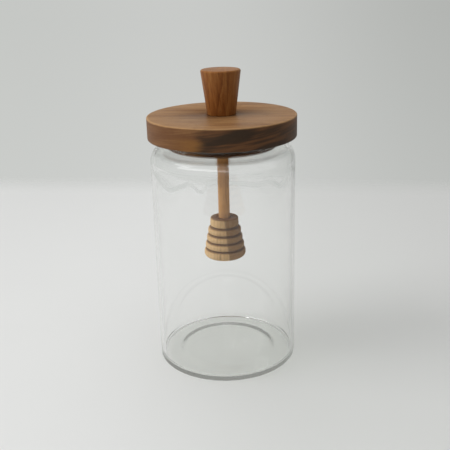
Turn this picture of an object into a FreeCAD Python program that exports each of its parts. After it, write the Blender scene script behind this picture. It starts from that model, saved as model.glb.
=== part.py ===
import FreeCAD, Part
import math
import os

# Honey jar: a blown glass vessel with a turned wooden lid, which carries a dipper down into the honey.
# The lid's plug holds a clear silicone ring that wipes the bore of the glass mouth. One dowel joins the
# knob, the lid and the beehive dipper head: it is glued through the lid, into the knob above and into the
# head below, so all four lift out and turn together.
# Units are millimetres. +Z is up, and the origin is the centre of the jar's foot, on the table.

# Glass jar
body_diameter = 100.0
rim_height = 162.0          # from the table to the top of the fire-polished rim
wall = 2.4
floor_thickness = 2.0       # at the middle
floor_edge_height = 1.7     # where the domed floor would reach the wall, if no corner rounded it
floor_corner_radius = 3.0   # inside, where the floor turns up into the wall
heel_radius = 1.2           # outside, from the foot to the wall
foot_ring_width = 10.5      # flat ring that touches the table
punt_rise = 1.3             # how far the middle of the underside is pushed up
punt_slope_width = 8.5      # slope in two equal curves, from the foot ring up to the flat middle
shoulder_radius = 12.5
neck_curve_radius = 3.0     # hollow curve from the shoulder up into the lip
lip_height = 2.3            # straight part of the mouth, up to the top of the rim
mouth_bore = 79.0           # inner diameter of the mouth

# Wooden lid
lid_diameter = 102.0
lid_thickness = 15.0
lid_edge_round = 0.9
lid_seat_gap = 0.2          # between the glass rim and the lid's flat underside
plug_depth = 7.0            # below the lid's underside
plug_mouth_gap = 2.3        # between the plug and the bore of the mouth, bridged by the seal
plug_edge_round = 1.0

# Silicone seal
groove_depth = 2.0          # cut into the side of the plug
groove_height = 3.2
groove_drop = 0.6           # from the lid's underside to the top of the groove
seal_clearance = 0.15       # between the ring and each wall of its groove
seal_collar = 0.5           # how far the ring's band stands out of the plug
seal_mouth_gap = 0.3        # between the lips of the ring and the glass
lip_count = 2
lip_root = 0.9              # thickness of a lip where it leaves the band
lip_tip = 0.4

# Knob
knob_base_diameter = 19.4
knob_top_diameter = 27.3
knob_height = 30.0
knob_top_round = 1.2
knob_base_round = 0.5
knob_bore_depth = 18.0

# Dowel that joins the knob, the lid and the dipper head
dowel_diameter = 8.0
dowel_chamfer = 0.6
glue_gap = 0.05             # radial, in every hole that the dowel is glued into
glue_pocket = 0.5           # left free at the bottom of a blind hole

# Dipper head
dipper_reach = 87.0         # from the glass rim down to the bottom of the head
head_height = 29.0
top_rib_diameter = 20.4
second_rib_diameter = 23.8  # the ribs below widen evenly from here
bottom_rib_diameter = 30.0
head_bore_depth = 13.0
rib_count = 5
top_rib_height = 6.0
bottom_rib_height = 5.9     # the ribs between share what is left
groove_gap = 1.0            # height of the cut between two ribs
groove_bite = 2.2           # depth of that cut
rib_flare = 0.3             # how much wider, in radius, each rib is at its foot than at its top
rib_round = 1.4
groove_round = 0.3
head_top_round = 0.7
head_bottom_round = 3.0


def point(radius, height):
    """A point of a turned outline, in the half plane where Y is zero."""
    return FreeCAD.Vector(radius, 0, height)


def line(start, end):
    return Part.LineSegment(start, end).toShape()


def arc(centre, radius, start_angle, end_angle):
    """An arc of an outline about its centre, from one angle to another, in degrees."""
    angles = (start_angle, (start_angle + end_angle) / 2, end_angle)
    ends = [
        centre + point(radius * math.cos(math.radians(a)), radius * math.sin(math.radians(a)))
        for a in angles
    ]
    return Part.Arc(*ends).toShape()


def joined(edges):
    """The edges of an outline in order, with a straight line wherever one edge stops short of the next."""
    whole = []
    for edge, following in zip(edges, edges[1:] + edges[:1]):
        whole.append(edge)
        end = edge.lastVertex(True).Point
        start = following.firstVertex(True).Point
        if end.distanceToPoint(start) > 1e-6:
            whole.append(line(end, start))
    return whole


def turned(edges):
    """The solid that a closed outline makes in one full turn about Z."""
    face = Part.Face(Part.Wire(joined(edges)))
    solid = face.revolve(FreeCAD.Vector(0, 0, 0), FreeCAD.Vector(0, 0, 1), 360)
    return solid if solid.Volume > 0 else solid.reversed()


def rounded(corners):
    """The edges of a closed outline through (radius, height, rounding) corners."""
    edges = []
    for i, (radius, height, rounding) in enumerate(corners):
        corner = point(radius, height)
        back = point(*corners[i - 1][:2]) - corner
        ahead = point(*corners[(i + 1) % len(corners)][:2]) - corner
        back.normalize()
        ahead.normalize()
        half_angle = back.getAngle(ahead) / 2
        if rounding <= 0:
            edges.append((corner, corner))
            continue
        reach = rounding / math.tan(half_angle)
        middle = back + ahead
        middle.normalize()
        centre = corner + middle * (rounding / math.sin(half_angle))
        edges.append((corner + back * reach, centre - middle * rounding, corner + ahead * reach))
    outline = []
    for here, following in zip(edges, edges[1:] + edges[:1]):
        if len(here) == 3:
            outline.append(Part.Arc(*here).toShape())
        outline.append(line(here[-1], following[0]))
    return outline


# Places that several pieces share
body_radius = body_diameter / 2
mouth_radius = mouth_bore / 2
neck_radius = mouth_radius + wall
lid_underside = rim_height + lid_seat_gap
lid_top = lid_underside + lid_thickness
plug_radius = mouth_radius - plug_mouth_gap
plug_bottom = lid_underside - plug_depth
groove_top = lid_underside - groove_drop
groove_bottom = groove_top - groove_height
groove_radius = plug_radius - groove_depth
knob_top = lid_top + knob_height
dowel_radius = dowel_diameter / 2
glue_hole_radius = dowel_radius + glue_gap
head_bottom = rim_height - dipper_reach
head_top = head_bottom + head_height
dowel_top = lid_top + knob_bore_depth - glue_pocket
dowel_bottom = head_top - head_bore_depth + glue_pocket


def glass_jar():
    """Straight body on a pushed-up foot, drawn in at the shoulder to a short neck with a round rim."""
    # The shoulder curves in until the hollow neck curve, which turns the other way, can end upright
    turn = math.degrees(math.acos(
        (neck_radius + neck_curve_radius - body_radius + shoulder_radius)
        / (shoulder_radius + neck_curve_radius)
    ))
    climb = (shoulder_radius + neck_curve_radius) * math.sin(math.radians(turn))
    shoulder_height = rim_height - lip_height - climb
    shoulder_centre = point(body_radius - shoulder_radius, shoulder_height)
    neck_centre = point(neck_radius + neck_curve_radius, shoulder_height + climb)
    heel_centre = point(body_radius - heel_radius, heel_radius)
    foot_inner_radius = body_radius - heel_radius - foot_ring_width
    slope_radius = (punt_rise**2 + punt_slope_width**2) / (4 * punt_rise)
    slope_angle = 2 * math.degrees(math.atan(punt_rise / punt_slope_width))
    upper_slope_centre = point(foot_inner_radius - punt_slope_width, punt_rise - slope_radius)
    lower_slope_centre = point(foot_inner_radius, slope_radius)
    # The floor inside is a shallow dome that meets the wall in a rounded corner
    inner_radius = body_radius - wall
    floor_top = punt_rise + floor_thickness
    dome_rise = floor_top - floor_edge_height
    dome_radius = (inner_radius**2 + dome_rise**2) / (2 * dome_rise)
    dome_centre = point(0, floor_top - dome_radius)
    corner_place = inner_radius - floor_corner_radius
    corner_reach = dome_radius + floor_corner_radius
    corner_angle = math.degrees(math.asin(corner_place / corner_reach))
    corner_centre = point(corner_place, dome_centre.z + corner_reach * math.cos(math.radians(corner_angle)))
    return turned([
        line(point(0, punt_rise), point(upper_slope_centre.x, punt_rise)),
        arc(upper_slope_centre, slope_radius, 90, 90 - slope_angle),
        arc(lower_slope_centre, slope_radius, -90 - slope_angle, -90),
        arc(heel_centre, heel_radius, -90, 0),
        arc(shoulder_centre, shoulder_radius, 0, turn),
        arc(neck_centre, neck_curve_radius, 180 + turn, 180),
        arc(point(neck_radius - wall / 2, rim_height - wall / 2), wall / 2, 0, 180),
        arc(neck_centre, neck_curve_radius + wall, 180, 180 + turn),
        arc(shoulder_centre, shoulder_radius - wall, turn, 0),
        arc(corner_centre, floor_corner_radius, 0, -90 - corner_angle),
        arc(dome_centre, dome_radius, 90 - corner_angle, 90),
    ])


def wooden_lid():
    """Thick turned disc with a grooved plug below it, bored through for the dowel."""
    radius = lid_diameter / 2
    return turned(rounded([
        (glue_hole_radius, lid_top, 0),
        (radius, lid_top, lid_edge_round),
        (radius, lid_underside, lid_edge_round),
        (plug_radius, lid_underside, 0),
        (plug_radius, groove_top, 0),
        (groove_radius, groove_top, 0),
        (groove_radius, groove_bottom, 0),
        (plug_radius, groove_bottom, 0),
        (plug_radius, plug_bottom, plug_edge_round),
        (glue_hole_radius, plug_bottom, 0),
    ]))


def seal_ring():
    """Silicone band that fills the groove, with lips that taper out towards the glass."""
    band_inner = groove_radius + seal_clearance
    band_outer = plug_radius + seal_collar
    lips_outer = mouth_radius - seal_mouth_gap
    band_bottom = groove_bottom + seal_clearance
    band_top = groove_top - seal_clearance
    pitch = (band_top - band_bottom) / lip_count
    corners = [(band_inner, band_top, 0), (band_inner, band_bottom, 0), (band_outer, band_bottom, 0)]
    for lip in range(lip_count):
        middle = band_bottom + pitch * (lip + 0.5)
        corners += [
            (band_outer, middle - lip_root / 2, 0),
            (lips_outer, middle - lip_tip / 2, 0),
            (lips_outer, middle + lip_tip / 2, 0),
            (band_outer, middle + lip_root / 2, 0),
        ]
    corners.append((band_outer, band_top, 0))
    return turned(rounded(corners))


def knob():
    """Turned knob that widens upwards, with a blind hole for the dowel in its base."""
    base = knob_base_diameter / 2
    top = knob_top_diameter / 2
    return turned(rounded([
        (0, knob_top, 0),
        (0, lid_top + knob_bore_depth, 0),
        (glue_hole_radius, lid_top + knob_bore_depth, 0),
        (glue_hole_radius, lid_top, 0),
        (base, lid_top, knob_base_round),
        (top, knob_top, knob_top_round),
    ]))


def dowel():
    """Plain rod, chamfered at both ends so that it enters its holes."""
    rod = Part.makeCylinder(dowel_radius, dowel_top - dowel_bottom, point(0, dowel_bottom))
    ends = [e for e in rod.Edges if e.isClosed()]
    return rod.makeChamfer(dowel_chamfer, ends)


def dipper_head():
    """Beehive of rounded ribs, each wider than the one above, parted by narrow cuts that hold the honey."""
    cut_count = rib_count - 1
    left = head_height - top_rib_height - bottom_rib_height - groove_gap * cut_count
    heights = [top_rib_height] + [left / (rib_count - 2)] * (rib_count - 2) + [bottom_rib_height]
    widening = (bottom_rib_diameter - second_rib_diameter) / (rib_count - 2)
    diameters = [top_rib_diameter] + [second_rib_diameter + widening * rib for rib in range(cut_count)]
    corners = [
        (0, head_top - head_bore_depth, 0),
        (glue_hole_radius, head_top - head_bore_depth, 0),
        (glue_hole_radius, head_top, 0),
    ]
    height = head_top
    for diameter, rib_height in zip(diameters, heights):
        foot = diameter / 2
        corners += [(foot - rib_flare, height, rib_round), (foot, height - rib_height, rib_round)]
        height -= rib_height + groove_gap
        corners += [
            (foot - groove_bite, height + groove_gap, groove_round),
            (foot - groove_bite, height, groove_round),
        ]
    # The head ends in place of the last cut, and its two ends have roundings of their own
    corners[-3:] = [(foot, head_bottom, head_bottom_round), (0, head_bottom, 0)]
    corners[3] = (top_rib_diameter / 2 - rib_flare, head_top, head_top_round)
    return turned(rounded(corners))


parts = {
    "jar": glass_jar,
    "lid": wooden_lid,
    "seal_ring": seal_ring,
    "knob": knob,
    "dipper_rod": dowel,
    "dipper_head": dipper_head,
}

os.makedirs("parts", exist_ok=True)
for name, make in parts.items():
    shape = make()
    shape.exportStep(os.path.join("parts", name + ".step"))
    print(name, "valid" if shape.isValid() else "NOT VALID", len(shape.Solids), round(shape.Volume, 1), "mm3")
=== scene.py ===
import math
from collections import namedtuple

import bmesh
import bpy
from bpy.props import FloatProperty, FloatVectorProperty, IntProperty, PointerProperty
from bpy.types import Operator, Panel, PropertyGroup
from mathutils import Matrix, Vector


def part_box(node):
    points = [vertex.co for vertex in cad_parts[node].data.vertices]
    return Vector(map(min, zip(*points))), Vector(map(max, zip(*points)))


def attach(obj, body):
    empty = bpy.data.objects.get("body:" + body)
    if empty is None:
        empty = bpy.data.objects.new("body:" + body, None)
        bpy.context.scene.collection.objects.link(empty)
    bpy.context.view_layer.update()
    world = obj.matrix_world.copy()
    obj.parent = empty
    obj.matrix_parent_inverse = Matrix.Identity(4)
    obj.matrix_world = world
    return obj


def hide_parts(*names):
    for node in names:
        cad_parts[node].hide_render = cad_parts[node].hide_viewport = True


bl_info = {
    "name": "Honey Jar with Dipper",
    "version": (1, 0, 0),
    "blender": (4, 5, 0),
    "location": "View3D > Sidebar > Honey Jar",
    "description": "Models a blown glass honey jar, its turned wooden lid and dipper, and a studio",
    "category": "Add Mesh",
}

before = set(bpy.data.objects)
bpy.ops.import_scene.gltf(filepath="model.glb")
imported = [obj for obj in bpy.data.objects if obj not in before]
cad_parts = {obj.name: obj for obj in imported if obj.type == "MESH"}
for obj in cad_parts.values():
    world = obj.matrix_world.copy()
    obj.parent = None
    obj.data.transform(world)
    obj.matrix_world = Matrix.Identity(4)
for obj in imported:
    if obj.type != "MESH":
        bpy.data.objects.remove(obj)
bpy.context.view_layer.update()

MM = 0.001
PIXELS_ACROSS = 450             # width and height of the photograph that the camera matches
SAME_PLACE = 1e-7               # points closer than this, in metres, are one
ARC_STEP = math.radians(7.5)    # longest step of an arc
CORNER_STEP = math.radians(15)  # the same, for a small rounding


def extent(node):
    """The lowest and highest corner of a CAD node, and its widest radius about Z."""
    low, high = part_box(node)
    return low, high, (high[0] - low[0]) / 2


_, jar_high, jar_radius = extent("jar")
lid_low, lid_high, lid_radius = extent("lid")
seal_low, seal_high, seal_radius = extent("seal_ring")
knob_low, knob_high, knob_radius = extent("knob")
rod_low, rod_high, rod_radius = extent("dipper_rod")
head_low, head_high, _ = extent("dipper_head")


def length(name, description, default, low=0.0):
    """A property that holds a length in metres."""
    return FloatProperty(
        name=name, description=description, default=default,
        min=low, max=1.0, precision=5, unit="LENGTH", subtype="DISTANCE",
    )


def rotation(name, description, degrees):
    """A property that holds an angle."""
    return FloatProperty(
        name=name, description=description, default=math.radians(degrees), unit="ROTATION", subtype="ANGLE",
    )


def colour(name, description, default):
    """A property that holds a linear colour."""
    return FloatVectorProperty(
        name=name, description=description, default=default, size=3, min=0.0, max=1.0, subtype="COLOR",
    )


class HoneyJarSizes(PropertyGroup):
    """Sizes of the turned and blown pieces, beyond those that the frame gives."""

    around: IntProperty(
        name="Faces Around", description="Number of faces in one full turn of the jar, lid and seal",
        default=256, min=32, max=512,
    )
    dowel_around: IntProperty(
        name="Dowel Faces Around", description="Number of faces in one full turn of the dowel",
        default=96, min=32, max=512,
    )
    wall: length("Glass Wall", "Thickness of the jar's wall", 2.4 * MM)
    floor_thickness: length("Glass Floor", "Thickness of the jar's floor at its middle", 2.0 * MM)
    floor_edge: length("Floor Edge", "Height at which the domed floor would reach the wall", 1.7 * MM)
    floor_corner: length("Floor Corner", "Radius inside, where the floor turns up into the wall", 3.0 * MM)
    heel: length("Heel", "Radius outside, from the foot to the wall", 1.2 * MM)
    foot_ring: length("Foot Ring", "Width of the flat ring that touches the table", 10.5 * MM)
    punt: length("Punt", "How far the middle of the underside is pushed up", 1.3 * MM)
    punt_slope: length("Punt Slope", "Width of the slope up from the foot ring", 8.5 * MM)
    shoulder: length("Shoulder", "Outer radius of the shoulder's curve", 12.5 * MM)
    neck_curve: length("Neck Curve", "Radius of the hollow curve under the lip", 3.0 * MM)
    lip: length("Lip", "Height of the straight part of the mouth", 2.3 * MM)
    mouth_bore: length("Mouth Bore", "Inner diameter of the mouth", 79.0 * MM)
    gather: length("Gather", "Extra glass inside, left where the shoulder was drawn in", 0.16 * MM)
    gather_height: length("Gather Height", "Mean height of the lower edge of that extra glass", 141.0 * MM)
    gather_edge: length("Gather Edge", "Height over which the extra glass thins away", 2.6 * MM)

    lid_thickness: length("Lid Thickness", "Thickness of the lid's disc", 15.0 * MM)
    lid_round: length("Lid Rounding", "Radius of the lid's two edges", 0.9 * MM)
    plug_gap: length("Plug Gap", "From the plug to the bore of the mouth", 2.3 * MM)
    plug_round: length("Plug Rounding", "Radius of the plug's lower edge", 1.0 * MM)
    groove_depth: length("Groove Depth", "Depth of the groove that holds the seal", 2.0 * MM)
    seal_clearance: length("Seal Clearance", "Between the seal and each wall of its groove", 0.15 * MM)
    seal_collar: length("Seal Collar", "How far the seal's band stands out of the plug", 0.5 * MM)
    lip_root: length("Seal Lip Root", "Thickness of a lip of the seal where it leaves the band", 0.9 * MM)
    lip_tip: length("Seal Lip Tip", "Thickness of a lip of the seal at its tip", 0.4 * MM)

    knob_base: length("Knob Base", "Diameter of the knob on the lid", 19.4 * MM)
    knob_top_round: length("Knob Top Rounding", "Radius of the knob's upper edge", 1.2 * MM)
    knob_base_round: length("Knob Base Rounding", "Radius of the knob's lower edge", 0.5 * MM)
    glue_gap: length("Glue Gap", "Between the dowel and its holes, all round", 0.05 * MM)
    glue_pocket: length("Glue Pocket", "Left free at the bottom of a blind hole", 0.5 * MM)
    dowel_chamfer: length("Dowel Chamfer", "Chamfer at both ends of the dowel", 0.6 * MM)

    top_rib_width: length("Top Rib Width", "Diameter of the dipper head's uppermost rib", 20.4 * MM)
    second_rib_width: length("Second Rib Width", "Diameter of the rib below it", 23.8 * MM)
    bottom_rib_width: length("Bottom Rib Width", "Diameter of the lowest rib", 30.0 * MM)
    top_rib: length("Top Rib", "Height of the uppermost rib", 6.0 * MM)
    bottom_rib: length("Bottom Rib", "Height of the lowest rib", 5.9 * MM)
    rib_flare: length("Rib Flare", "How much wider a rib's radius is at its foot than at its top", 0.3 * MM)
    groove_gap: length("Groove Gap", "Height of the cut between two ribs", 1.0 * MM)
    groove_bite: length("Groove Bite", "Depth of the cut between two ribs", 2.2 * MM)
    rib_round: length("Rib Rounding", "Radius of a rib's edges", 1.4 * MM)
    groove_round: length("Groove Rounding", "Radius at the bottom of a cut", 0.3 * MM)
    head_top_round: length("Head Top Rounding", "Radius of the dipper head's upper edge", 0.7 * MM)
    head_round: length("Head Rounding", "Radius of the dipper head's lower edge", 3.0 * MM)
    ribs: IntProperty(name="Ribs", description="Number of ribs on the dipper head", default=5, min=3, max=9)


class HoneyJarFinish(PropertyGroup):
    """Colours of the woods, the glass and the seal."""

    lid_light: colour("Lid Light", "Palest bands of the lid's wood", (0.45, 0.262, 0.118))
    lid_mid: colour("Lid Mid", "Main colour of the lid's wood", (0.31, 0.158, 0.062))
    lid_dark: colour("Lid Dark", "Darkest bands of the lid's wood", (0.132, 0.052, 0.019))
    lid_heart: colour("Lid Heartwood", "Chocolate heartwood at the lid's front", (0.007, 0.0045, 0.0042))
    lid_sap: colour("Lid Sapwood", "Golden sapwood beside the heartwood", (0.25, 0.108, 0.022))
    knob_light: colour("Knob Light", "Palest streaks of the knob", (0.35, 0.152, 0.041))
    knob_mid: colour("Knob Mid", "Main colour of the knob", (0.228, 0.077, 0.016))
    knob_dark: colour("Knob Dark", "Darkest streaks of the knob", (0.11, 0.03, 0.006))
    rod_light: colour("Rod Light", "Palest streaks of the rod", (0.65, 0.335, 0.125))
    rod_mid: colour("Rod Mid", "Main colour of the rod", (0.57, 0.28, 0.098))
    rod_dark: colour("Rod Dark", "Darkest streaks of the rod", (0.28, 0.115, 0.042))
    head_light: colour("Head Light", "Palest streaks of the dipper head", (0.78, 0.52, 0.26))
    head_mid: colour("Head Mid", "Main colour of the dipper head", (0.61, 0.375, 0.17))
    # Head Dark is also the painted shade in the head's cuts, on its top and on its right side.
    head_dark: colour("Head Dark", "Darkest streaks of the dipper head, and its cuts", (0.185, 0.074, 0.016))
    glass: colour("Glass", "Tint of the glass", (0.995, 0.997, 0.994))
    glass_light: colour("Glass Light", "What a face of the glass lets through of lamps", (0.93, 0.935, 0.925))
    glass_caught: colour("Glass Caught", "Grey of light that is caught in the glass", (0.77, 0.77, 0.76))
    silicone: colour("Silicone", "Tint of the seal", (0.86, 0.87, 0.86))


class HoneyJarStudio(PropertyGroup):
    """The floor, the light and the camera."""

    floor: colour("Floor", "Colour of the floor", (0.745, 0.752, 0.74))
    # The floor's right colour, and its grey at the sides and far corner, are painted shade; the grey of its
    # clouds is its own.
    floor_right_shade: colour("Floor Right", "Colour of the floor to the right of the jar", (0.69, 0.7, 0.682))
    floor_clouds_and_shade: colour("Floor Grey", "Colour of the floor's clouds, sides and far corner", (0.6, 0.6, 0.59))
    wall_left: colour("Background Left", "Background towards -X", (0.69, 0.705, 0.685))
    wall_right: colour("Background Right", "Background towards +X", (0.325, 0.335, 0.32))
    wall_foot: colour("Background Foot", "Background where it meets the floor", (0.72, 0.735, 0.715))
    window: colour("Window", "The bright room, mirrored above the table", (1.0, 1.0, 1.0))
    fill_high: colour("Fill Light High", "Soft light from above, the left and behind", (1.0, 1.0, 1.0))
    fill_low: colour("Fill Light Low", "Soft light from the right and the front", (0.26, 0.26, 0.262))
    key_power: FloatProperty(
        name="Key Light", description="Power of the large lamp at the upper left",
        default=5.8, min=0, unit="POWER",
    )
    band_power: FloatProperty(
        name="Band Light", description="Power of the long lamp that is mirrored below the lid",
        default=1.3, min=0, unit="POWER",
    )
    camera_side: length("Camera Side", "From the jar's axis to the camera, along X", -1.4 * MM, low=-1.0)
    camera_back: length("Camera Distance", "From the jar's axis to the camera, along Y", 475.8 * MM)
    camera_height: length("Camera Height", "From the table to the camera", 264.9 * MM)
    camera_yaw: rotation("Camera Yaw", "Turn of the camera to the right", 0.21)
    camera_pitch: rotation("Camera Pitch", "Turn of the camera down, below the horizon", 19.39)
    camera_roll: rotation("Camera Roll", "Turn of the camera about the line that it looks along", -1.5)
    focal_pixels: FloatProperty(
        name="Focal Length", description="Focal length in pixels of the photograph", default=705.4, min=1,
    )


class Outline:
    """The half section of a round piece: a line drawn by one moving vertex, which is then spun about Z."""

    def __init__(self, radius, height):
        self.mesh = bmesh.new()
        self.inner = self.mesh.verts.layers.int.new("inner")
        self.pen = self.mesh.verts.new((radius, 0, height))

    def line_to(self, radius, height, pieces=1):
        """A straight line from where the pen is, in equal pieces."""
        start = self.pen.co.copy()
        end = Vector((radius, 0, height))
        if (end - start).length < SAME_PLACE:
            return
        for step in range(1, pieces + 1):
            made = bmesh.ops.extrude_vert_indiv(self.mesh, verts=[self.pen])
            self.pen = made["verts"][0]
            self.pen.co = start.lerp(end, step / pieces)

    def arc(self, centre, angle, step=ARC_STEP):
        """An arc about a (radius, height) centre, through an angle that turns a radius from X towards Z."""
        made = bmesh.ops.spin(
            self.mesh, geom=[self.pen], cent=(centre[0], 0, centre[1]), axis=(0, -1, 0),
            angle=angle, steps=max(3, math.ceil(abs(angle) / step)),
        )
        self.pen = next(g for g in made["geom_last"] if isinstance(g, bmesh.types.BMVert))

    def spun(self, around):
        """One full turn of the line, with its seam and its poles closed and its faces outwards."""
        mesh = self.mesh
        bmesh.ops.spin(
            mesh, geom=mesh.verts[:] + mesh.edges[:], cent=(0, 0, 0), axis=(0, 0, 1),
            angle=math.tau, steps=around, use_merge=True,
        )
        bmesh.ops.remove_doubles(mesh, verts=mesh.verts, dist=SAME_PLACE)
        bmesh.ops.recalc_face_normals(mesh, faces=mesh.faces)
        return mesh


def rounded(corners):
    """A closed outline through (radius, height, rounding) corners, each rounded by a tangent arc."""
    points = [Vector(c[:2]) for c in corners]
    arcs = []
    for i, (corner, rounding) in enumerate(zip(points, [c[2] for c in corners])):
        back = (points[i - 1] - corner).normalized()
        ahead = (points[(i + 1) % len(points)] - corner).normalized()
        half_angle = back.angle(ahead) / 2
        reach = rounding / math.tan(half_angle)
        centre = corner + (back + ahead).normalized() * (rounding / math.sin(half_angle))
        sense = 1 if back.cross(ahead) < 0 else -1
        arcs.append((corner + back * reach, centre, sense * (math.pi - 2 * half_angle), rounding))
    outline = Outline(*arcs[0][0])
    for start, centre, angle, rounding in arcs:
        outline.line_to(*start)
        if rounding > 0:
            outline.arc(centre, angle, CORNER_STEP)
    outline.line_to(*arcs[0][0])
    return outline


def finished(mesh, name, material, body, node):
    """The object that a mesh becomes, which rides on a body and stands for a CAD node."""
    data = bpy.data.meshes.new(name)
    mesh.to_mesh(data)
    mesh.free()
    data.shade_smooth()
    data.materials.append(material)
    piece = bpy.data.objects.new(name, data)
    bpy.context.scene.collection.objects.link(piece)
    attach(piece, body)
    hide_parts(node)
    return piece


class Shader:
    """The node tree of a material or world. Each method adds a node, joins what it is given to it and
    returns an output."""

    def __init__(self, owner):
        owner.use_nodes = True
        self.tree = owner.node_tree
        self.tree.nodes.clear()

    def feed(self, socket, value):
        """Joins an output to a socket, or sets the socket to a number, a vector or a colour."""
        if isinstance(value, bpy.types.NodeSocket):
            self.tree.links.new(value, socket)
        elif socket.type == "RGBA":
            socket.default_value = (*value, 1)
        else:
            socket.default_value = value

    def node(self, kind, output=0, inputs=(), **settings):
        """A node with settings, whose inputs are given by name or number. Returns one of its outputs."""
        made = self.tree.nodes.new(kind)
        for name, value in settings.items():
            setattr(made, name, value)
        for name, value in dict(inputs).items():
            self.feed(made.inputs[name], value)
        return made.outputs[output]

    def math(self, operation, *values, clamp=False):
        return self.node(
            "ShaderNodeMath", operation=operation, use_clamp=clamp, inputs=dict(enumerate(values)),
        )

    def vector(self, operation, *values, output=0):
        """A sum on vectors. Output 1 is its number, for the sums that give one."""
        return self.node(
            "ShaderNodeVectorMath", output=output, operation=operation, inputs=dict(enumerate(values)),
        )

    def mixed(self, factor, first, second):
        """Two colours, mixed by a factor."""
        return self.node("ShaderNodeMix", output=2, data_type="RGBA", inputs={0: factor, 6: first, 7: second})

    def mixed_value(self, factor, first, second):
        """Two numbers, mixed by a factor."""
        return self.node("ShaderNodeMix", inputs={0: factor, 2: first, 3: second})

    def spread(self, value, low, high, to_low=0.0, to_high=1.0, smooth=False):
        """A value, stretched from one range to another and held within it."""
        return self.node(
            "ShaderNodeMapRange", interpolation_type="SMOOTHSTEP" if smooth else "LINEAR",
            inputs={0: value, 1: low, 2: high, 3: to_low, 4: to_high},
        )

    def place(self, location=(0, 0, 0), turn=(0, 0, 0), size=(1, 1, 1)):
        """Object coordinates, measured from a location along turned axes in steps of the given size."""
        coordinates = self.node("ShaderNodeTexCoord", output="Object")
        return self.node(
            "ShaderNodeMapping", vector_type="TEXTURE",
            inputs={"Vector": coordinates, "Location": location, "Rotation": turn, "Scale": size},
        )

    def axes(self, vector=None):
        """The three parts of a vector, or of the place on the object in metres."""
        return self.node("ShaderNodeSeparateXYZ", inputs={0: vector or self.place()}).node.outputs[:]

    def from_axis(self, x, y):
        """The distance from Z."""
        return self.math("SQRT", self.math("ADD", self.math("MULTIPLY", x, x), self.math("MULTIPLY", y, y)))

    def noise(self, vector, detail=2.0, roughness=0.5, output=0, distortion=0.0):
        """Soft noise with a step of 1, as a number, or as a colour by output 1."""
        return self.node(
            "ShaderNodeTexNoise", output=output,
            inputs={
                "Vector": vector, "Scale": 1.0, "Detail": detail,
                "Roughness": roughness, "Distortion": distortion,
            },
        )

    def ramp(self, value, stops):
        """A colour for a value, through (position, colour) stops."""
        made = self.tree.nodes.new("ShaderNodeValToRGB")
        elements = made.color_ramp.elements
        while len(elements) < len(stops):
            elements.new(0.5)
        for element, (position, shade) in zip(elements, stops):
            element.position = position
            element.color = (*shade, 1)
        self.feed(made.inputs[0], value)
        return made.outputs[0]

    def light_path(self, *names):
        return [self.node("ShaderNodeLightPath", output=name) for name in names]

    def end(self, surface, kind="ShaderNodeOutputMaterial"):
        self.tree.links.new(surface, self.tree.nodes.new(kind).inputs["Surface"])


# How one wood grows and was sawn: a point on the pith, the turn that lays X along the grain, the width of
# a year's ring, how far the rings wander, the length and width of the fibres and of the pores, the tones
# that its darkest and palest colour stand for, how deep the pores are beside the fibres, its roughness, and
# how far the lathe's rings stand out
Grain = namedtuple("Grain", "pith turn ring wander fibre pore tones pore_depth roughness lathe")

WAVE_LENGTH = math.tau / 20         # from ring to ring, in a wave texture of scale 1
RING_BENDS = (0.09, 0.024)          # length along the grain and width across it, in metres
CLOUDS = (0.06, 0.014)              # the same, of the cloudy figure
STREAKS = (2.5, 4)                  # how much longer and wider a streak is than a fibre
RING_SHARE, CLOUD_SHARE, FIBRE_SHARE, STREAK_SHARE = 0.18, 0.42, 0.36, 0.6      # what each adds to the tone
PORE_NOISE = (0.66, 0.74)           # a pore lies where the noise is above this
PORE_STAIN = 0.55                   # how much darker a pore is
PORE_SHADE = 0.45                   # its colour, as a share of the darkest colour
PORE_ROUGHNESS = 0.4                # how much a pore adds to what makes the surface rough
LATHE_STEP = 0.7 * MM               # from ring to ring of the tool
FIBRE_RELIEF = 0.35                 # how far a fibre stands out, as a share of the relief
RELIEF = 0.16 * MM                  # height of the relief that the light shows
RELIEF_STRENGTH = 0.6
ROUGHER_FROM = (0.25, 0.9)          # fibres and pores that are smoothest and roughest
ROUGHNESS_BELOW, ROUGHNESS_ABOVE = 0.07, 0.13       # how far it strays from the wood's own roughness
WOOD_SPECULAR = 0.15


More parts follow.
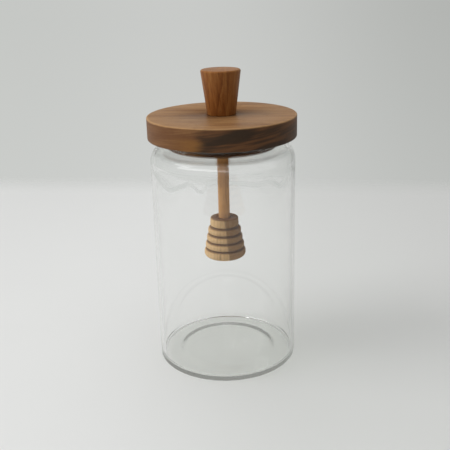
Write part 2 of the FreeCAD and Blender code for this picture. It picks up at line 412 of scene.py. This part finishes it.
def wood(name, grain, shades, figured):
    """An oiled, turned wood: year rings, long fibres, dark pores, and the faint rings that the lathe left."""
    material = bpy.data.materials.new(name)
    s = Shader(material)

    def along(long, wide):
        return s.place(grain.pith, grain.turn, (long, wide, wide))

    bends = s.vector("SUBTRACT", s.noise(along(*RING_BENDS), detail=2, output=1), (0.5, 0.5, 0.5))
    bends = s.node("ShaderNodeVectorMath", operation="SCALE", inputs={0: bends, "Scale": grain.wander})
    rings = s.node(
        "ShaderNodeTexWave", output="Fac", wave_type="RINGS", rings_direction="X", wave_profile="SAW",
        inputs={
            "Vector": s.vector("ADD", s.place(grain.pith, grain.turn), bends),
            "Scale": WAVE_LENGTH / grain.ring, "Distortion": 1.2, "Detail": 2.0,
        },
    )
    clouds = s.noise(along(*CLOUDS), detail=3, roughness=0.55, distortion=0.4)
    fibre = s.noise(along(*grain.fibre), detail=4, roughness=0.65)
    longer, wider = STREAKS
    streak = s.noise(along(grain.fibre[0] * longer, grain.fibre[1] * wider), detail=3, roughness=0.6)
    pore = s.spread(s.noise(along(*grain.pore), detail=1), *PORE_NOISE, smooth=True)
    tone = s.math("MULTIPLY", rings, RING_SHARE)
    for part, share in ((clouds, CLOUD_SHARE), (fibre, FIBRE_SHARE), (streak, STREAK_SHARE)):
        tone = s.math("MULTIPLY_ADD", part, share, tone)
    shade = s.ramp(s.spread(tone, *grain.tones), list(zip((0.0, 0.5, 1.0), shades)))
    shade = figured(s, shade, fibre, streak)
    shade = s.mixed(s.math("MULTIPLY", pore, PORE_STAIN), shade, tuple(c * PORE_SHADE for c in shades[0]))

    turning = s.noise(s.place(size=(1.0, 1.0, LATHE_STEP)), detail=1)
    height = s.math("MULTIPLY_ADD", fibre, FIBRE_RELIEF, s.math("MULTIPLY", turning, grain.lathe))
    height = s.math("MULTIPLY_ADD", pore, -grain.pore_depth, height)
    bump = s.node(
        "ShaderNodeBump", inputs={"Strength": RELIEF_STRENGTH, "Distance": RELIEF, "Height": height},
    )
    rough = s.spread(
        s.math("ADD", fibre, s.math("MULTIPLY", pore, PORE_ROUGHNESS)), *ROUGHER_FROM,
        grain.roughness - ROUGHNESS_BELOW, grain.roughness + ROUGHNESS_ABOVE,
    )
    s.end(s.node(
        "ShaderNodeBsdfPrincipled",
        inputs={"Base Color": shade, "Roughness": rough, "Normal": bump, "Specular IOR Level": WOOD_SPECULAR},
    ))
    return material


# Lengths in metres on the lid's side. Pairs along X run from where a colour starts to where it is full
BROWN_END = (-0.022, -0.036)
GOLD_ALONG = (-0.036, -0.020)
GOLD_BELOW = (5 * MM, 9 * MM)               # the same, down from the top
HEART_ALONG = (-0.020, -0.010)
RAGGED_STEPS = (0.03, 0.02, 2.2 * MM)       # size of the noise that frays the edge of each colour
RAGGED_REACH = 14 * MM                      # how far that noise moves an edge along X
# Size and lean of the fine streaks and of the broad ones that run round the side
LINE_STEPS, LINE_TURN = (0.024, 0.03, 1 * MM), math.radians(-7)
BAND_STEPS, BAND_TURN = (0.03, 0.03, 3.2 * MM), math.radians(-9)
# Black spots in the heartwood: place along X, depth below the top, half length and half height
LID_SPOTS = (
    (0.009, 0.005, 0.0125, 0.0034), (0.033, 0.0135, 0.012, 0.0022), (-0.004, 0.0088, 0.010, 0.0013),
)
SPOT_DEPTH = 0.05                           # how deep a spot goes into the wood
SPOT_FRAY = 1.2                             # how much the ragged noise frays a spot


def heartwood(s, shade, fibre, streak):
    """The lid's side: brown at the left, then golden, then chocolate heartwood to the right, all darker than
    the top, partly by painted shade. Painted shade on the plug, and a painted highlight round the top edge.
    """
    look = bpy.context.scene.honey_jar_finish
    size = bpy.context.scene.honey_jar_sizes
    top = lid_high[2]
    x, y, z = s.axes()
    radius = s.from_axis(x, y)
    ragged = s.noise(s.place(size=RAGGED_STEPS), detail=4, roughness=0.6)
    lines = s.noise(s.place(turn=(0, LINE_TURN, 0), size=LINE_STEPS), detail=4, roughness=0.6)
    bands = s.noise(s.place(turn=(0, BAND_TURN, 0), size=BAND_STEPS), detail=2)
    lines = s.math("MULTIPLY_ADD", bands, 0.5, s.math("MULTIPLY", lines, 0.5))
    # The side below the top's edge is painted darker than the top: partly the wood of the side, partly
    # painted shade.
    below = s.math("SUBTRACT", top, s.math("MULTIPLY_ADD", ragged, 1.2 * MM, z))
    below = s.spread(below, -0.4 * MM, 0.5 * MM, smooth=True)
    # A paler line round the rounded top edge: a painted highlight.
    edge_highlight = s.spread(radius, lid_radius - 1.4 * MM, lid_radius - 0.8 * MM, 0.0, 0.6)
    frayed = s.math("SUBTRACT", ragged, 0.5)
    across = s.math("MULTIPLY_ADD", frayed, RAGGED_REACH, x)
    brown = s.spread(across, *HEART_ALONG, smooth=True)
    low = s.spread(z, top - GOLD_BELOW[0], top - GOLD_BELOW[1], smooth=True)
    gold = s.math("MULTIPLY", s.spread(across, *GOLD_ALONG, smooth=True), low)
    black = 0.0
    for middle, depth, long, high in LID_SPOTS:
        spot = s.place((middle, -lid_radius, top - depth), (0, LINE_TURN, 0), (long, SPOT_DEPTH, high))
        spot = s.math("MULTIPLY_ADD", frayed, SPOT_FRAY, s.vector("LENGTH", spot, output=1))
        black = s.math("MAXIMUM", black, s.spread(spot, 1.4, 0.75, 0.0, 0.95, smooth=True))
    side = s.mixed(s.spread(lines, 0.44, 0.66, 0.0, 0.75), look.lid_dark, look.lid_mid)
    side = s.mixed(s.spread(x, *BROWN_END, 0.0, 0.45), side, look.lid_dark)
    side = s.mixed(s.math("MULTIPLY", gold, 0.6), side, look.lid_sap)
    heart = s.mixed(s.spread(lines, 0.43, 0.58, 0.12, 0.82), look.lid_heart, look.lid_dark)
    side = s.mixed(brown, side, s.mixed(black, heart, look.lid_heart))
    shade = s.mixed(edge_highlight, shade, look.lid_light)
    shade = s.mixed(s.math("MULTIPLY", below, 0.92), shade, side)
    # The plug, under the disc, is painted darker: painted shade.
    plug = s.math("LESS_THAN", z, top - size.lid_thickness)
    return s.mixed(s.math("MULTIPLY", plug, 0.3), shade, look.lid_dark)


# The knob's pale streak is a painted highlight.
KNOB_HIGHLIGHT = 3.6 * MM      # where the knob's pale streak runs, along X


def knob_painted_light(s, shade, fibre, streak):
    """Painted light on the knob: a painted highlight up its front, and a right side and a top painted paler.
    """
    look = bpy.context.scene.honey_jar_finish
    x, _, z = s.axes()
    top = knob_high[2]
    away = s.math("SUBTRACT", s.math("MULTIPLY_ADD", fibre, 0.8 * MM, x), KNOB_HIGHLIGHT)
    # Painted light: the right side paler.
    shade = s.mixed(s.spread(x, 4 * MM, 8 * MM, 0.0, 0.34), shade, look.knob_light)
    # Painted highlight: a pale streak up the front.
    shade = s.mixed(
        s.spread(s.math("ABSOLUTE", away), 1.1 * MM, 0.2 * MM, 0.0, 0.4), shade, look.knob_light,
    )
    # Painted light: the top paler, as lit from above.
    return s.mixed(s.spread(z, top - 0.9 * MM, top - 0.2 * MM, 0.0, 0.12), shade, look.rod_light)


def shaded_dowel(s, shade, fibre, streak):
    """The dowel, browner towards the lid: painted shade under the lid."""
    look = bpy.context.scene.honey_jar_finish
    z = s.axes()[2]
    high = s.spread(z, rod_low[2] + 33 * MM, rod_low[2] + 36 * MM, 0.0, 0.25, smooth=True)
    return s.mixed(high, shade, look.rod_dark)


# The head's dark right side is painted shade.
HEAD_SLANT = 0.11           # how far the edge of the head's dark side leans, for each metre up


def head_painted_light_and_shade(s, shade, fibre, streak):
    """The dipper head: painted shade in the cuts between its ribs, a darker top, partly its end grain and
    partly painted shade, painted light on its left and painted shade on its right.
    """
    look = bpy.context.scene.honey_jar_finish
    size = bpy.context.scene.honey_jar_sizes
    low, top = head_low[2], head_high[2]
    x, y, z = s.axes()
    # Painted shade in the cuts between the ribs: darker the deeper the cut.
    second_top = top - size.top_rib - size.groove_gap
    slope = (size.bottom_rib_width - size.second_rib_width) / 2 / (second_top - low - size.bottom_rib)
    cone = s.math("MULTIPLY_ADD", z, -slope, size.second_rib_width / 2 + slope * second_top)
    cone = s.mixed_value(s.math("GREATER_THAN", z, second_top), cone, size.top_rib_width / 2)
    depth = s.math("MULTIPLY_ADD", fibre, 0.4 * MM, s.math("SUBTRACT", cone, s.from_axis(x, y)))
    above = s.math("GREATER_THAN", z, low + size.bottom_rib - size.rib_round)
    cut = s.math("MULTIPLY", s.spread(depth, 0.5 * MM, 1.9 * MM, 0.0, 0.75, smooth=True), above)
    # Painted light on the left side; painted shade that grows across the middle.
    shade = s.mixed(s.spread(x, -3 * MM, -9 * MM, 0.0, 0.6), shade, look.head_light)
    shade = s.mixed(s.spread(x, -6 * MM, 2 * MM, 0.0, 0.17), shade, look.head_dark)
    # The edge of the painted shade on the right side, frayed by the streaks and leaning with height.
    edge = s.math("MULTIPLY_ADD", streak, 2 * MM, x)
    edge = s.math("MULTIPLY_ADD", s.math("SUBTRACT", z, low), HEAD_SLANT, edge)
    # A darker top: partly its end grain, partly painted shade under the lid.
    end = s.spread(z, top - 0.5 * MM, top - 0.1 * MM, 0.0, 0.55)
    for dark in (s.spread(edge, 3.7 * MM, 4.7 * MM, 0.0, 0.68, smooth=True), cut, end):
        shade = s.mixed(dark, shade, look.head_dark)
    return shade


GLASS_IOR, SILICONE_IOR = 1.47, 1.41
GLANCES_LET_OUT = 2.5                       # a view that was mirrored more often than this is let out
NECK_CLEAR = (10 * MM, 7 * MM, 0.8)         # starts and is full this far below the rim, and how clear it is


def clear_glass():
    """Colourless blown glass. Lamps and soft light pass straight through it, so that what it holds is lit."""
    look = bpy.context.scene.honey_jar_finish
    material = bpy.data.materials.new("clear blown glass")
    s = Shader(material)
    glass = s.node(
        "ShaderNodeBsdfPrincipled",
        inputs={"Base Color": look.glass, "Roughness": 0.0, "IOR": GLASS_IOR, "Transmission Weight": 1.0},
    )
    # A view that glances about inside the glass is let out again, greyer, instead of ending in black
    shadow, diffuse, glances = s.light_path("Is Shadow Ray", "Is Diffuse Ray", "Glossy Depth")
    caught = s.math("GREATER_THAN", glances, GLANCES_LET_OUT)
    # The lid keeps the light off the neck, which mirrors and bends little
    start, full, clearness = NECK_CLEAR
    neck = s.spread(s.axes()[2], jar_high[2] - start, jar_high[2] - full, 0.0, clearness)
    straight = s.math("MAXIMUM", s.math("MAXIMUM", shadow, diffuse), s.math("MAXIMUM", caught, neck))
    through = s.node(
        "ShaderNodeBsdfTransparent", inputs={"Color": s.mixed(caught, look.glass_light, look.glass_caught)},
    )
    s.end(s.node("ShaderNodeMixShader", inputs={0: straight, 1: glass, 2: through}))
    return material


def clear_silicone():
    """Clear silicone, a little mottled and matt."""
    look = bpy.context.scene.honey_jar_finish
    material = bpy.data.materials.new("clear silicone")
    s = Shader(material)
    mottle = s.noise(s.place(size=(4 * MM, 4 * MM, 2 * MM)), detail=2)
    s.end(s.node(
        "ShaderNodeBsdfPrincipled",
        inputs={
            "Base Color": look.silicone, "Roughness": s.spread(mottle, 0.3, 0.7, 0.12, 0.2),
            "IOR": SILICONE_IOR, "Transmission Weight": 1.0, "Specular IOR Level": 0.3,
        },
    ))
    return material


# Where the extra glass runs lowest below the shoulder: degrees about Z, width in degrees, and drop in mm
GATHER_RUNS = (
    (-137, 15, 8), (-108, 5, 6), (-62, 14, 3), (-40, 8, 7), (-3, 10, 5),
    (38, 14, 7), (85, 11, 5), (128, 13, 7), (167, 9, 4),
)
GATHER_REACH = 20 * MM      # the glass below its mean height by this is plain
GATHER_START = 4 * MM       # height over which it thickens, below the neck
RIPPLE_SHARE = 0.25         # how much its thickness varies round the jar
RIPPLES_AROUND = 5          # thick places in one turn
RIPPLE_LEAN = 0.5           # radians by which the ripples shift, for each mm up


def eased(share):
    """A share, held between 0 and 1, that starts and ends softly."""
    share = min(max(share, 0), 1)
    return share * share * (3 - 2 * share)


def gathered(mesh, layer, size):
    """Thickens the inside of the glass below the neck, down to a line that sags in uneven runs."""
    top = jar_high[2] - size.lip - size.neck_curve
    for vert in mesh.verts:
        height = vert.co.z
        if not vert[layer] or not size.gather_height - GATHER_REACH <= height <= top:
            continue
        angle = math.degrees(math.atan2(vert.co.y, vert.co.x))
        edge = size.gather_height
        for middle, width, drop in GATHER_RUNS:
            away = (angle - middle + 180) % 360 - 180
            edge -= drop * MM * math.exp(-((away / width) ** 2))
        ripple = math.sin(math.radians(angle * RIPPLES_AROUND) + height / MM * RIPPLE_LEAN)
        thickness = size.gather * (1 + RIPPLE_SHARE * ripple)
        vert.co += vert.normal * (
            thickness * eased((height - edge) / size.gather_edge) * eased((top - height) / GATHER_START)
        )


class HONEYJAR_OT_glass_jar(Operator):
    """Blow the glass jar: foot, straight body, shoulder, neck and round rim"""

    bl_idname = "honey_jar.glass_jar"
    bl_label = "Glass Jar"

    def execute(self, context):
        size = context.scene.honey_jar_sizes
        rim = jar_high[2]
        mouth = size.mouth_bore / 2
        neck = mouth + size.wall
        curves = size.shoulder + size.neck_curve
        turn = math.acos((neck + curves - jar_radius) / curves)
        climb = curves * math.sin(turn)
        shoulder_centre = (jar_radius - size.shoulder, rim - size.lip - climb)
        neck_centre = (neck + size.neck_curve, rim - size.lip)
        foot_inner = jar_radius - size.heel - size.foot_ring
        slope_radius = (size.punt**2 + size.punt_slope**2) / (4 * size.punt)
        slope_turn = 2 * math.atan(size.punt / size.punt_slope)
        floor_top = size.punt + size.floor_thickness
        dome = floor_top - size.floor_edge
        dome_radius = ((jar_radius - size.wall)**2 + dome**2) / (2 * dome)
        dome_centre = (0, floor_top - dome_radius)
        corner_radius = jar_radius - size.wall - size.floor_corner
        corner_turn = math.asin(corner_radius / (dome_radius + size.floor_corner))
        corner_height = dome_centre[1] + (dome_radius + size.floor_corner) * math.cos(corner_turn)

        # From the middle of the underside round the outside, over the rim and down the inside. The last
        # number of a line is how many pieces it is drawn in, and of an arc it is the step
        outline = Outline(0, size.punt)
        outline.line_to(foot_inner - size.punt_slope, size.punt, 8)
        outline.arc((outline.pen.co.x, size.punt - slope_radius), -slope_turn, slope_turn / 8)
        outline.arc((foot_inner, slope_radius), slope_turn, slope_turn / 8)
        outline.line_to(jar_radius - size.heel, 0, 6)
        outline.arc((jar_radius - size.heel, size.heel), math.pi / 2)
        outline.line_to(jar_radius, shoulder_centre[1], 12)
        outline.arc(shoulder_centre, turn, turn / 20)
        outline.arc(neck_centre, -turn, turn / 10)
        outline.line_to(neck, rim - size.wall / 2, 2)
        outline.arc((neck - size.wall / 2, rim - size.wall / 2), math.pi, CORNER_STEP)
        outline.line_to(mouth, neck_centre[1], 2)
        outer_count = len(outline.mesh.verts)
        outline.arc(neck_centre, turn, turn / 12)
        outline.arc(shoulder_centre, -turn, turn / 24)
        wall_inside = outline.pen.co.x
        outline.line_to(wall_inside, size.gather_height - GATHER_REACH, 40)
        outline.mesh.verts.ensure_lookup_table()
        for vert in outline.mesh.verts[outer_count:]:
            vert[outline.inner] = 1
        outline.line_to(wall_inside, corner_height, 10)
        outline.arc((corner_radius, corner_height), -(math.pi / 2 + corner_turn))
        outline.arc(dome_centre, corner_turn, corner_turn / 24)
        mesh = outline.spun(size.around)
        gathered(mesh, outline.inner, size)
        mesh.verts.layers.int.remove(outline.inner)
        finished(mesh, "glass_jar", clear_glass(), "jar", "jar")
        return {"FINISHED"}


class HONEYJAR_OT_wooden_lid(Operator):
    """Turn the lid: a thick disc with a grooved plug below it, bored for the dowel"""

    bl_idname = "honey_jar.wooden_lid"
    bl_label = "Wooden Lid"

    def execute(self, context):
        size = context.scene.honey_jar_sizes
        look = context.scene.honey_jar_finish
        hole = rod_radius + size.glue_gap
        top = lid_high[2]
        underside = top - size.lid_thickness
        plug = size.mouth_bore / 2 - size.plug_gap
        groove_top = seal_high[2] + size.seal_clearance
        groove_bottom = seal_low[2] - size.seal_clearance
        outline = rounded([
            (hole, top, 0),
            (lid_radius, top, size.lid_round),
            (lid_radius, underside, size.lid_round),
            (plug, underside, 0),
            (plug, groove_top, 0),
            (plug - size.groove_depth, groove_top, 0),
            (plug - size.groove_depth, groove_bottom, 0),
            (plug, groove_bottom, 0),
            (plug, lid_low[2], size.plug_round),
            (hole, lid_low[2], 0),
        ])
        acacia = wood(
            "oiled acacia",
            Grain(
                pith=(0, 0.07, 0.11), turn=(0, math.radians(3), math.radians(-4)), ring=3.4 * MM,
                wander=0.012, fibre=(0.02, 0.0007), pore=(0.007, 0.00035), tones=(0.5, 1.05),
                pore_depth=1.0, roughness=0.47, lathe=0.1,
            ),
            (look.lid_dark, look.lid_mid, look.lid_light),
            heartwood,
        )
        finished(outline.spun(size.around), "wooden_lid", acacia, "lid", "lid")
        return {"FINISHED"}


class HONEYJAR_OT_seal_ring(Operator):
    """Mould the clear silicone ring that the plug carries"""

    bl_idname = "honey_jar.seal_ring"
    bl_label = "Seal Ring"

    def execute(self, context):
        size = context.scene.honey_jar_sizes
        plug = size.mouth_bore / 2 - size.plug_gap
        inner = plug - size.groove_depth + size.seal_clearance
        outer = plug + size.seal_collar
        top, bottom = seal_high[2], seal_low[2]
        corners = [(inner, top, 0), (inner, bottom, 0), (outer, bottom, 0)]
        # A lip at a quarter and at three quarters of its height
        for share in (0.25, 0.75):
            middle = bottom + (top - bottom) * share
            corners += [
                (outer, middle - size.lip_root / 2, 0),
                (seal_radius, middle - size.lip_tip / 2, 0),
                (seal_radius, middle + size.lip_tip / 2, 0),
                (outer, middle + size.lip_root / 2, 0),
            ]
        corners.append((outer, top, 0))
        mesh = rounded(corners).spun(size.around)
        finished(mesh, "silicone_seal", clear_silicone(), "seal", "seal_ring")
        return {"FINISHED"}


class HONEYJAR_OT_knob(Operator):
    """Turn the knob, which widens upwards"""

    bl_idname = "honey_jar.knob"
    bl_label = "Knob"

    def execute(self, context):
        size = context.scene.honey_jar_sizes
        look = context.scene.honey_jar_finish
        low, high = knob_low[2], knob_high[2]
        hole = rod_radius + size.glue_gap
        hole_top = rod_high[2] + size.glue_pocket
        # The rounding takes the widest place a little below the top, so the cone is drawn out to pass it
        slant = math.atan((knob_radius - size.knob_base / 2) / (high - low))
        loss = size.knob_top_round * (1 / math.cos(slant) + math.tan(slant) - 1)
        outline = rounded([
            (0, high, 0),
            (0, hole_top, 0),
            (hole, hole_top, 0),
            (hole, low, 0),
            (size.knob_base / 2, low, size.knob_base_round),
            (knob_radius + loss, high, size.knob_top_round),
        ])
        acacia = wood(
            "oiled acacia knob",
            Grain(
                pith=(0.03, 0.05, 0.18), turn=(0, math.radians(88), 0), ring=3.0 * MM, wander=0.006,
                fibre=(0.016, 0.0006), pore=(0.006, 0.0003), tones=(0.48, 1.0), pore_depth=1.0,
                roughness=0.4, lathe=0.25,
            ),
            (look.knob_dark, look.knob_mid, look.knob_light),
            knob_painted_light,
        )
        finished(outline.spun(size.around // 2), "turned_knob", acacia, "lid", "knob")
        return {"FINISHED"}


class HONEYJAR_OT_dipper(Operator):
    """Turn the dipper: the dowel and the beehive head on its lower end"""

    bl_idname = "honey_jar.dipper"
    bl_label = "Dipper"

    def execute(self, context):
        scene = context.scene
        self.make_rod(scene.honey_jar_sizes, scene.honey_jar_finish)
        self.make_head(scene.honey_jar_sizes, scene.honey_jar_finish)
        return {"FINISHED"}

    def make_rod(self, size, look):
        low, high, chamfer = rod_low[2], rod_high[2], size.dowel_chamfer
        outline = Outline(0, low)
        outline.line_to(rod_radius - chamfer, low)
        outline.line_to(rod_radius, low + chamfer)
        outline.line_to(rod_radius, high - chamfer, 24)
        outline.line_to(rod_radius - chamfer, high)
        outline.line_to(0, high)
        beech = wood(
            "beech dowel",
            Grain(
                pith=(0.02, 0.03, 0.12), turn=(0, math.radians(90), 0), ring=2.0 * MM, wander=0.003,
                fibre=(0.012, 0.0005), pore=(0.003, 0.0003), tones=(0.45, 1.05), pore_depth=0.5,
                roughness=0.5, lathe=0.3,
            ),
            (look.rod_dark, look.rod_mid, look.rod_light),
            shaded_dowel,
        )
        finished(outline.spun(size.dowel_around), "dipper_dowel", beech, "lid", "dipper_rod")

    def make_head(self, size, look):
        hole = rod_radius + size.glue_gap
        hole_low = rod_low[2] - size.glue_pocket
        low, height = head_low[2], head_high[2]
        cuts = size.ribs - 1
        left = height - low - size.top_rib - size.bottom_rib - size.groove_gap * cuts
        heights = [size.top_rib] + [left / (cuts - 1)] * (cuts - 1) + [size.bottom_rib]
        widening = (size.bottom_rib_width - size.second_rib_width) / (cuts - 1)
        widths = [size.top_rib_width] + [size.second_rib_width + widening * rib for rib in range(cuts)]
        corners = [(0, hole_low, 0), (hole, hole_low, 0), (hole, height, 0)]
        for width, rib_height in zip(widths, heights):
            foot = width / 2
            corners += [
                (foot - size.rib_flare, height, size.rib_round),
                (foot, height - rib_height, size.rib_round),
            ]
            height -= rib_height + size.groove_gap
            corners += [
                (foot - size.groove_bite, height + size.groove_gap, size.groove_round),
                (foot - size.groove_bite, height, size.groove_round),
            ]
        # The head ends in place of the last cut, and its two ends have roundings of their own
        corners[-3:] = [(foot, low, size.head_round), (0, low, 0)]
        corners[3] = (widths[0] / 2 - size.rib_flare, head_high[2], size.head_top_round)
        beech = wood(
            "turned beech",
            Grain(
                pith=(0.03, -0.02, 0.09), turn=(0, math.radians(90), 0), ring=2.4 * MM, wander=0.004,
                fibre=(0.01, 0.0005), pore=(0.003, 0.00028), tones=(0.45, 1.0), pore_depth=0.6,
                roughness=0.55, lathe=0.5,
            ),
            (look.head_dark, look.head_mid, look.head_light),
            head_painted_light_and_shade,
        )
        mesh = rounded(corners).spun(size.around // 2)
        finished(mesh, "dipper_beehive", beech, "lid", "dipper_head")


# Lamps: place, the point that they face, width and height, all in metres
KEY_LAMP = ((-0.85, -0.16, 1.0), (0, 0, 0.08), 0.6, 0.6)
BAND_LAMP = ((-0.4, -0.58, 0.5), (0, 0, 0.15), 1.3, 0.15)
FILL_FROM = (-0.45, 0.25, 0.4)      # direction and strength with which the soft light grows
FILL_EVEN = 0.4                     # its share that comes from all round

# The floor's lengths in metres, from the jar's axis
FLOOR_HALF = 1.2
FLOOR_DROP = 0.2 * MM               # how far the floor lies below the foot
FLOOR_TURN = math.radians(-6.8)     # its tones run at this angle
FLOOR_FADE = (0.39, 0.48)           # where it gives way to the background
# The right tone, and the greying to the sides and towards the far corner, are painted shade.
FLOOR_SIDES = (-0.07, 0.075)        # where its left tone ends and its right tone is full
FLOOR_ASIDE = (0.07, 0.3)           # how far to either side it starts to grey, and has greyed
FLOOR_CORNER = (0.12, 0.38)         # the same, towards the far right corner
FLOOR_PAINTED_SHADE = 0.3
CLOUD_STEP = 0.08                   # size of the faint clouds on it


class HONEYJAR_OT_stage(Operator):
    """Set out the floor, the light, the background and the camera"""

    bl_idname = "honey_jar.stage"
    bl_label = "Stage"

    def execute(self, context):
        studio = context.scene.honey_jar_studio
        self.lay_floor(context, studio)
        self.lamp(context, "key", studio.key_power, KEY_LAMP, mirrored=False)
        self.lamp(context, "band", studio.band_power, BAND_LAMP, mirrored=True)
        self.surround(context, studio)
        self.aim_camera(context, studio)
        context.scene.view_settings.view_transform = "Standard"
        return {"FINISHED"}

    def lay_floor(self, context, studio):
        """A pale floor that gives way to the background at its edges, and is seen through from below. It is
        painted darker to the right, to its sides and towards its far corner: painted shade.
        """
        mesh = bmesh.new()
        bmesh.ops.create_grid(mesh, x_segments=1, y_segments=1, size=FLOOR_HALF)
        bmesh.ops.translate(mesh, verts=mesh.verts, vec=(0, 0, -FLOOR_DROP))
        data = bpy.data.meshes.new("floor")
        mesh.to_mesh(data)
        mesh.free()
        material = bpy.data.materials.new("pale floor")
        s = Shader(material)
        x, y, _ = s.axes(s.place(turn=(0, 0, FLOOR_TURN)))
        out = s.math("MAXIMUM", s.math("ABSOLUTE", x), s.math("ABSOLUTE", y))
        gone = s.spread(out, *FLOOR_FADE, smooth=True)
        under = s.node("ShaderNodeNewGeometry", output="Backfacing")
        clouds = s.noise(s.place(size=(CLOUD_STEP, CLOUD_STEP, CLOUD_STEP)), detail=3)
        aside = s.math("ABSOLUTE", s.math("ADD", x, 0.02))
        corner = s.math("MULTIPLY_ADD", y, 0.5, x)
        paint = s.mixed(s.spread(x, *FLOOR_SIDES, smooth=True), studio.floor, studio.floor_right_shade)
        # Faint clouds of the floor's own tone, then painted shade to the sides and towards the far corner.
        for greying in (
            s.spread(clouds, 0.3, 0.7, 0.0, 0.05),
            s.spread(aside, *FLOOR_ASIDE, 0.0, FLOOR_PAINTED_SHADE, smooth=True),
            s.spread(corner, *FLOOR_CORNER, 0.0, FLOOR_PAINTED_SHADE, smooth=True),
        ):
            paint = s.mixed(greying, paint, studio.floor_clouds_and_shade)
        solid = s.node("ShaderNodeBsdfPrincipled", inputs={"Base Color": paint, "Roughness": 0.75})
        clear = s.node("ShaderNodeBsdfTransparent")
        s.end(s.node("ShaderNodeMixShader", inputs={0: s.math("MAXIMUM", gone, under), 1: solid, 2: clear}))
        data.materials.append(material)
        floor = bpy.data.objects.new("floor", data)
        context.scene.collection.objects.link(floor)

    def lamp(self, context, name, power, layout, mirrored):
        """A rectangular lamp that faces a target. It is either mirrored in things or lights them."""
        place, target, wide, tall = layout
        data = bpy.data.lights.new(name, "AREA")
        data.shape = "RECTANGLE"
        data.size, data.size_y, data.energy = wide, tall, power
        lamp = bpy.data.objects.new(name, data)
        facing = (Vector(target) - Vector(place)).to_track_quat("-Z", "Y")
        lamp.matrix_world = Matrix.Translation(place) @ facing.to_matrix().to_4x4()
        lamp.visible_diffuse = not mirrored
        lamp.visible_glossy = mirrored
        context.scene.collection.objects.link(lamp)

    def surround(self, context, studio):
        """Soft light from all round. What is seen, mirrored or seen through glass is a pale background."""
        world = bpy.data.worlds.new("studio")
        context.scene.world = world
        s = Shader(world)
        direction = s.node("ShaderNodeTexCoord", output="Generated")
        across, ahead, up = s.axes(direction)
        wall = s.mixed(s.spread(across, -1.0, 1.0), studio.wall_left, studio.wall_right)
        wall = s.mixed(s.spread(up, -0.05, -0.3, 0.0, 0.24), wall, studio.wall_foot)
        # The background is brightest a little left of its middle
        aside = s.math("ABSOLUTE", s.math("ADD", across, 0.01))
        wall = s.mixed(s.spread(aside, 0.32, 0.0, 0.0, 0.13, smooth=True), wall, studio.window)
        side = s.vector("DOT_PRODUCT", direction, FILL_FROM, output=1)
        fill = s.mixed(s.math("ADD", side, FILL_EVEN, clamp=True), studio.fill_low, studio.fill_high)
        camera, glossy, transmission = s.light_path("Is Camera Ray", "Is Glossy Ray", "Is Transmission Ray")
        window = s.math("MULTIPLY", s.spread(up, -0.15, 0.1), s.spread(ahead, 0.2, -0.1))
        wall = s.mixed(s.math("MULTIPLY", window, glossy), wall, studio.window)
        seen = s.math("MAXIMUM", s.math("MAXIMUM", camera, glossy), transmission)
        s.end(
            s.node("ShaderNodeBackground", inputs={"Color": s.mixed(seen, fill, wall)}),
            "ShaderNodeOutputWorld",
        )

    def aim_camera(self, context, studio):
        data = bpy.data.cameras.new("camera")
        data.sensor_fit = "HORIZONTAL"
        data.lens = data.sensor_width * studio.focal_pixels / PIXELS_ACROSS
        data.clip_start = 0.01
        camera = bpy.data.objects.new("camera", data)
        camera.matrix_world = (
            Matrix.Translation((studio.camera_side, -studio.camera_back, studio.camera_height))
            @ Matrix.Rotation(-studio.camera_yaw, 4, "Z")
            @ Matrix.Rotation(math.pi / 2 - studio.camera_pitch, 4, "X")
            @ Matrix.Rotation(studio.camera_roll, 4, "Z")
        )
        context.scene.collection.objects.link(camera)
        context.scene.camera = camera


OPERATORS = (
    HONEYJAR_OT_glass_jar,
    HONEYJAR_OT_seal_ring,
    HONEYJAR_OT_wooden_lid,
    HONEYJAR_OT_knob,
    HONEYJAR_OT_dipper,
    HONEYJAR_OT_stage,
)
GROUPS = {
    "honey_jar_sizes": HoneyJarSizes,
    "honey_jar_finish": HoneyJarFinish,
    "honey_jar_studio": HoneyJarStudio,
}


class HONEYJAR_PT_tools(Panel):
    """Buttons for the pieces, and the sizes and colours that they use"""

    bl_idname = "HONEYJAR_PT_tools"
    bl_label = "Honey Jar"
    bl_space_type = "VIEW_3D"
    bl_region_type = "UI"
    bl_category = "Honey Jar"

    def draw(self, context):
        for operator in OPERATORS:
            self.layout.operator(operator.bl_idname)
        for name, group in GROUPS.items():
            box = self.layout.box()
            for field in group.__annotations__:
                box.prop(getattr(context.scene, name), field)


CLASSES = (*GROUPS.values(), *OPERATORS, HONEYJAR_PT_tools)


def register():
    for cls in CLASSES:
        bpy.utils.register_class(cls)
    for name, group in GROUPS.items():
        setattr(bpy.types.Scene, name, PointerProperty(type=group))


def unregister():
    for name in GROUPS:
        delattr(bpy.types.Scene, name)
    for cls in reversed(CLASSES):
        bpy.utils.unregister_class(cls)


def main():
    register()
    bpy.ops.honey_jar.glass_jar()
    bpy.ops.honey_jar.seal_ring()
    bpy.ops.honey_jar.wooden_lid()
    bpy.ops.honey_jar.knob()
    bpy.ops.honey_jar.dipper()
    bpy.ops.honey_jar.stage()


if __name__ == "__main__":
    main()
